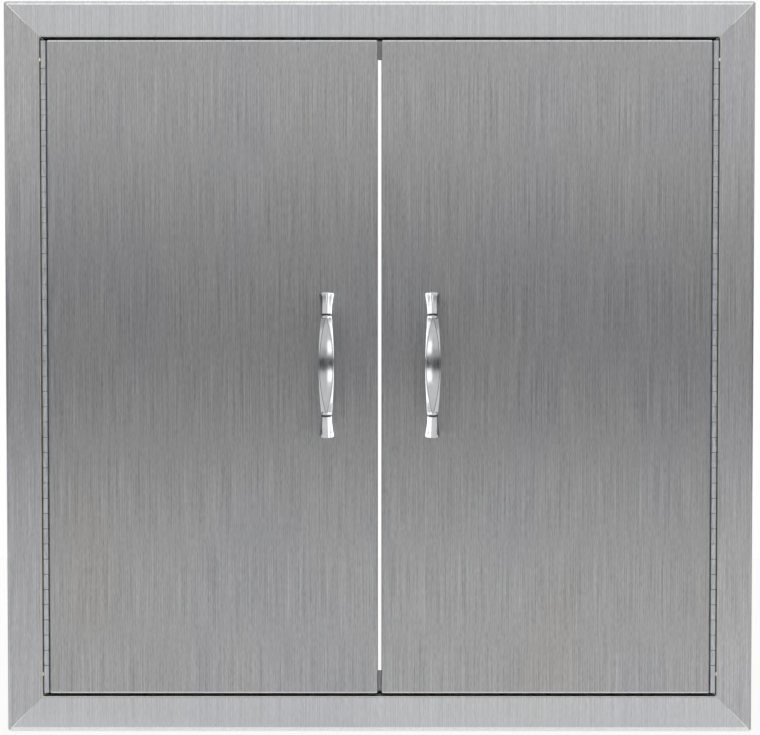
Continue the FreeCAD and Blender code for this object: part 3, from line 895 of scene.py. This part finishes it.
def turned_end():
    """Collar, groove and flared cap in one turning, standing on Z from the grip's upper end."""
    # Height and radius of each ring, in mm from the foot of the groove.
    rings = [
        (-2.6, 3.9),
        (-2.5, 4.3),
        (-1.6, 4.45),
        (-0.5, 4.5),
        (-0.15, 4.4),
        (0.0, 4.0),
        (1.5, 4.0),
        (1.65, 4.25),
        (2.0, 4.38),
        (5.0, 4.45),
        (9.0, 4.75),
        (12.5, 5.2),
        (15.5, 5.65),
        (17.4, 5.95),
        (18.5, 6.02),
        (18.85, 5.9),
        (19.0, 5.65),
    ]
    foot, radius = rings[0]
    deselect()
    bpy.ops.mesh.primitive_circle_add(
        vertices=64, radius=radius * MM, fill_type="NGON", location=(0, 0, foot * MM)
    )
    piece = begin("turned_end")
    pick_all()
    for (z0, r0), (z1, r1) in zip(rings, rings[1:]):
        push(z=(z1 - z0) * MM)
        bpy.ops.transform.resize(value=(r1 / r0, r1 / r0, 1), center_override=(0, 0, z1 * MM))
    bpy.ops.mesh.inset(thickness=2.6 * MM)
    bpy.ops.transform.translate(value=(0, 0, 0.12 * MM))
    bpy.ops.mesh.merge(type="CENTER")
    outwards()
    coat(piece, polished_plate, groove_lacquer)
    pick("FACE", lambda middle, face: -0.1 * MM < middle.z < 1.6 * MM)
    paint(piece, 1)
    put_down(piece)
    return turned(piece, x=-math.degrees(LEAN), move=(HANDLE_X, FRONT - REACH, HANDLE_Z + NECK))


def post():
    """The upper post, from the door's face into the cap, with a small flared foot."""
    neck = FRONT - FOOT_TALL
    end = FRONT - 15.6 * MM
    piece = bar("post", 48, POST_RADIUS, (HANDLE_X, neck, POST_HIGH), (HANDLE_X, end, POST_HIGH))
    pick("FACE", lambda middle, face: face.normal.y > 0.9)
    push(y=FOOT_TALL)
    bpy.ops.transform.resize(
        value=(FOOT_FLARE, 1, FOOT_FLARE), center_override=(HANDLE_X, FRONT, POST_HIGH)
    )
    coat(piece, polished_plate)
    return put_down(piece)


def pull_handle():
    """The left handle: the grip with a turned end and a post at each end."""
    upper = [turned_end(), post()]
    lower = [flipped(piece, "lower", 2, HANDLE_Z) for piece in upper]
    return joined("pull_handle", [grip(), *upper, *lower])


skin = folded_pan("door_skin", "door_skin_left", DOOR_SHEET, 1)
liner = folded_pan("door_liner", "door_liner_left", LINER_SHEET, -1)
strike_low = strike_plate()
strike_high = flipped(strike_low, "strike_plate_high", 2, MIDDLE)
done_twice("door_skin", skin, None, DOOR_SIDES)
done_twice("door_liner", liner, mill_sheet, DOOR_SIDES)
done_twice("handle", pull_handle(), None, DOOR_SIDES, angle=22)
done_twice("handle_screws", handle_screws(), zinc_plate, DOOR_SIDES)
done_twice("strike_plate_bottom", strike_low, zinc_plate, DOOR_SIDES)
done_twice("strike_plate_top", strike_high, zinc_plate, DOOR_SIDES)

# The channels between the pans keep their CAD shape and get the sheet's finish.
for which in DOOR_SIDES:
    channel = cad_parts[f"handle_channel_{which}"]
    if not channel.material_slots:
        coat(channel, mill_sheet)
    for place in channel.material_slots:
        place.material = mill_sheet


# Stops and catches

HOUSE_LOW, HOUSE_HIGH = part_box("catch_housing_bottom")
CATCH_SCREW_X = 10 * MM
CATCH_SCREW_Y = 21 * MM
MAGNET_X = 27 * MM


def door_stop():
    """The bottom stop: the CAD angle with its triangles merged and its sheet edges eased."""
    deselect()
    bpy.ops.mesh.primitive_cube_add(size=1)
    piece = bpy.context.active_object
    cube = piece.data
    piece.name = "door_stop"
    piece.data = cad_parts["stop_bracket_bottom"].data.copy()
    piece.data.materials.clear()
    bpy.data.meshes.remove(cube)
    bpy.ops.object.mode_set(mode="EDIT")
    pick_all()
    bpy.ops.mesh.remove_doubles(threshold=0.002 * MM)
    bpy.ops.mesh.dissolve_limited(angle_limit=math.radians(0.5))
    return ease(piece, SHEET_EASE)


def catch_body():
    """The moulded body: rounded edges, a pocket round each magnet and round screw holes."""
    piece = block("catch_body", HOUSE_LOW, HOUSE_HIGH)
    pick("EDGE", lambda middle, edge: not near(middle.z, HOUSE_LOW.z))
    round_over(1.2 * MM, 4)
    put_down(piece)
    middle = (HOUSE_LOW.z + HOUSE_HIGH.z) / 2
    half_wide, half_tall, floor_y = 9 * MM, 5 * MM, 24 * MM
    cutters = []
    for side in (-1, 1):
        x = side * MAGNET_X
        low = (x - half_wide, HOUSE_LOW.y - 1 * MM, middle - half_tall)
        high = (x + half_wide, floor_y, middle + half_tall)
        cutters.append(put_down(block("pocket", low, high)))
        x = side * CATCH_SCREW_X
        foot = (x, CATCH_SCREW_Y, HOUSE_LOW.z - 1 * MM)
        head = (x, CATCH_SCREW_Y, HOUSE_HIGH.z + 1 * MM)
        cutters.append(put_down(bar("hole", 32, 2.3 * MM, foot, head)))
    cut(piece, *cutters)
    return ease(piece, 0.25 * MM, angle=60)


def catch_magnets():
    """Two magnets, each a ferrite block between two steel pole plates that stand a little proud."""
    low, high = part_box("catch_magnets_bottom")
    half_wide, set_back = 8.8 * MM, 0.5 * MM
    # Bottom and top of each layer in mm, how far it is set back, and its finish.
    layers = (
        (0, 1.6, 0, zinc_plate),
        (2.0, 7.6, set_back, ferrite),
        (8.0, 9.6, 0, zinc_plate),
    )
    pieces = []
    for x in (-MAGNET_X, MAGNET_X):
        for bottom, top, back, finish in layers:
            layer = block(
                "magnet_layer",
                (x - half_wide, low.y + back, low.z + bottom * MM),
                (x + half_wide, high.y, low.z + top * MM),
            )
            ease(layer, 0.2 * MM)
            coat(layer, finish)
            pieces.append(layer)
    return joined("catch_magnets", pieces)


def catch_screws():
    """The bottom catch's two screws, driven down from the top of its body."""
    place = (-CATCH_SCREW_X, CATCH_SCREW_Y, HOUSE_HIGH.z)
    left = turned(screw("catch_screw", 19.7 * MM), move=place)
    right = copy(left, "catch_screw", (2 * CATCH_SCREW_X, 0, 0))
    return joined("catch_screws", [left, right])


done_twice("stop_bracket", door_stop(), mill_sheet, FRAME_ENDS)
done_twice("catch_housing", catch_body(), nylon, FRAME_ENDS)
done_twice("catch_magnets", catch_magnets(), None, FRAME_ENDS)
done_twice("catch_screws", catch_screws(), zinc_plate, FRAME_ENDS)


# Studio

FLOOR_SIZE = 2.4
# Just under the object, so that the two don't flicker.
FLOOR_Z = -0.6 * MM
CARD_RADIUS = 3.2


def studio_floor():
    """A white painted floor, which the eye and the metal see as almost plain white."""
    glow = 0.85
    material, tree, shader = bare_finish("white_studio_paint", 0.0, 0.9)
    shader.inputs["Base Color"].default_value = tone("#F9F9F9")
    path = add(tree, "ShaderNodeLightPath").outputs
    rays = {0: path["Is Camera Ray"], 1: path["Is Glossy Ray"]}
    seen = add(tree, "ShaderNodeMath", {"operation": "MAXIMUM"}, rays)
    share = add(tree, "ShaderNodeMath", {"operation": "MULTIPLY", 1: glow}, {0: seen.outputs[0]})
    white = add(tree, "ShaderNodeEmission", {"Color": tone("#FFFFFF"), "Strength": 1.0})
    mixed = {0: share.outputs[0], 1: shader.outputs[0], 2: white.outputs[0]}
    mix = add(tree, "ShaderNodeMixShader", links=mixed)
    wire(tree, tree.nodes["Material Output"], {"Surface": mix.outputs[0]})
    deselect()
    bpy.ops.mesh.primitive_plane_add(size=FLOOR_SIZE, location=(0, 0, FLOOR_Z))
    slab = bpy.context.active_object
    slab.name = "studio_floor"
    coat(slab, material)


def card(name, low, high, code):
    """A band of matt cloth all round the set, that the metal shows and the eye doesn't."""
    material, _, shader = bare_finish(name + "_cloth", 0.0, 0.9)
    shader.inputs["Base Color"].default_value = tone(code)
    deselect()
    bpy.ops.mesh.primitive_cylinder_add(
        vertices=96,
        radius=CARD_RADIUS,
        depth=high - low,
        end_fill_type="NOTHING",
        location=(0, 0, (low + high) / 2),
    )
    band = bpy.context.active_object
    band.name = name
    coat(band, material)
    band.visible_camera = False
    band.visible_shadow = False


def white_room():
    """Plain white all round, at a strength that shows as white."""
    world = bpy.data.worlds.new("studio")
    world.use_nodes = True
    walls = world.node_tree.nodes["Background"]
    walls.inputs["Color"].default_value = tone("#FFFFFF")
    walls.inputs["Strength"].default_value = 1.0
    bpy.context.scene.world = world


def softbox(name, place, aim, size, power):
    """A rectangular soft light at a place, turned to what it lights, and not seen itself."""
    bpy.ops.object.light_add(type="AREA", location=place)
    lamp = bpy.context.active_object
    lamp.name = name
    lamp.data.shape = "RECTANGLE"
    lamp.data.size, lamp.data.size_y = size
    lamp.data.energy = power
    lamp.rotation_euler = (Vector(aim) - Vector(place)).to_track_quat("-Z", "Y").to_euler()
    lamp.visible_camera = False
    return lamp


# The lights round each half of a handle: degrees round from the front, towards the gap
# between the doors, how wide each is in mm, how far above or below the handle's middle, how
# tall, and how bright beside the white room.
HANDLE_LIGHTS = (
    (5.5, 78, 67, 60, 1.8),
    (44, 287, 135, 218, 1.3),
    (80.5, 203, 135, 218, 1.3),
    (-60, 120, 67, 60, 0.4),
)
HANDLE_LIGHT_AWAY = 0.5
# A strip of light flat on the door beside each half, which whitens the grip's rims.
STRIP_OUT = 108 * MM
STRIP_LEVEL = 95 * MM
STRIP_SIZE = (200 * MM, 120 * MM)
STRIP_BRIGHT = 2.0


def handle_lights(which, way):
    """Soft lights for one handle alone. The gap is to its right where way is 1, and left at -1."""
    group = bpy.data.collections.new(f"{which}_handle_light")
    group.objects.link(bpy.data.objects[f"{which}_handle"])
    for end in (-1, 1):
        lamps = []
        for turn, wide, level, tall, bright in HANDLE_LIGHTS:
            round_by = math.radians(turn)
            aim = Vector((way * HANDLE_X, FRONT - REACH, HANDLE_Z + end * level * MM))
            out = Vector((way * math.sin(round_by), -math.cos(round_by), 0))
            place = aim + out * HANDLE_LIGHT_AWAY
            lamps.append((place, aim, (wide * MM, tall * MM), bright))
        strip = Vector((way * (HANDLE_X + STRIP_OUT), FRONT - 1 * MM, HANDLE_Z + end * STRIP_LEVEL))
        lamps.append((strip, strip + Vector((0, -1, 0)), STRIP_SIZE, STRIP_BRIGHT))
        for place, aim, (wide, tall), bright in lamps:
            power = bright * math.pi * wide * tall
            lamp = softbox(f"{which}_handle_light", place, aim, (wide, tall), power)
            lamp.light_linking.receiver_collection = group


# The camera's place in metres, how many degrees it is tipped down and swung left, and its lens.
CAMERA_PLACE = (0.0022, -2.0, 0.3873)
TIPPED_DOWN = 2.385
SWUNG_LEFT = 0.054
SENSOR_WIDE = 36
LENS = 113.84


def camera():
    """The camera, nearly straight ahead of the doors and a little above their middle."""
    bpy.ops.object.camera_add(
        location=CAMERA_PLACE,
        rotation=(math.radians(90 - TIPPED_DOWN), 0, math.radians(SWUNG_LEFT)),
    )
    eye = bpy.context.active_object
    eye.data.sensor_width = SENSOR_WIDE
    eye.data.lens = LENS
    eye.data.clip_start = 0.01
    bpy.context.scene.camera = eye


studio_floor()
# The steel shows the dark card as its darker middle, and the handles show it as a dark band.
card("dark_card", 0.04, 0.40, "#303033")
card("pale_card", 0.42, 0.62, "#DCDCDC")
card("grey_card", 1.35, 2.9, "#D4D4D4")
white_room()
# The softbox draws the bright line along the top rail's fold.
softbox("overhead_softbox", place=(0, -1.45, 1.75), aim=(0, 0, 0.6), size=(2.4, 0.85), power=6)
handle_lights("left", 1)
handle_lights("right", -1)
camera()
bpy.context.scene.view_settings.view_transform = "Standard"
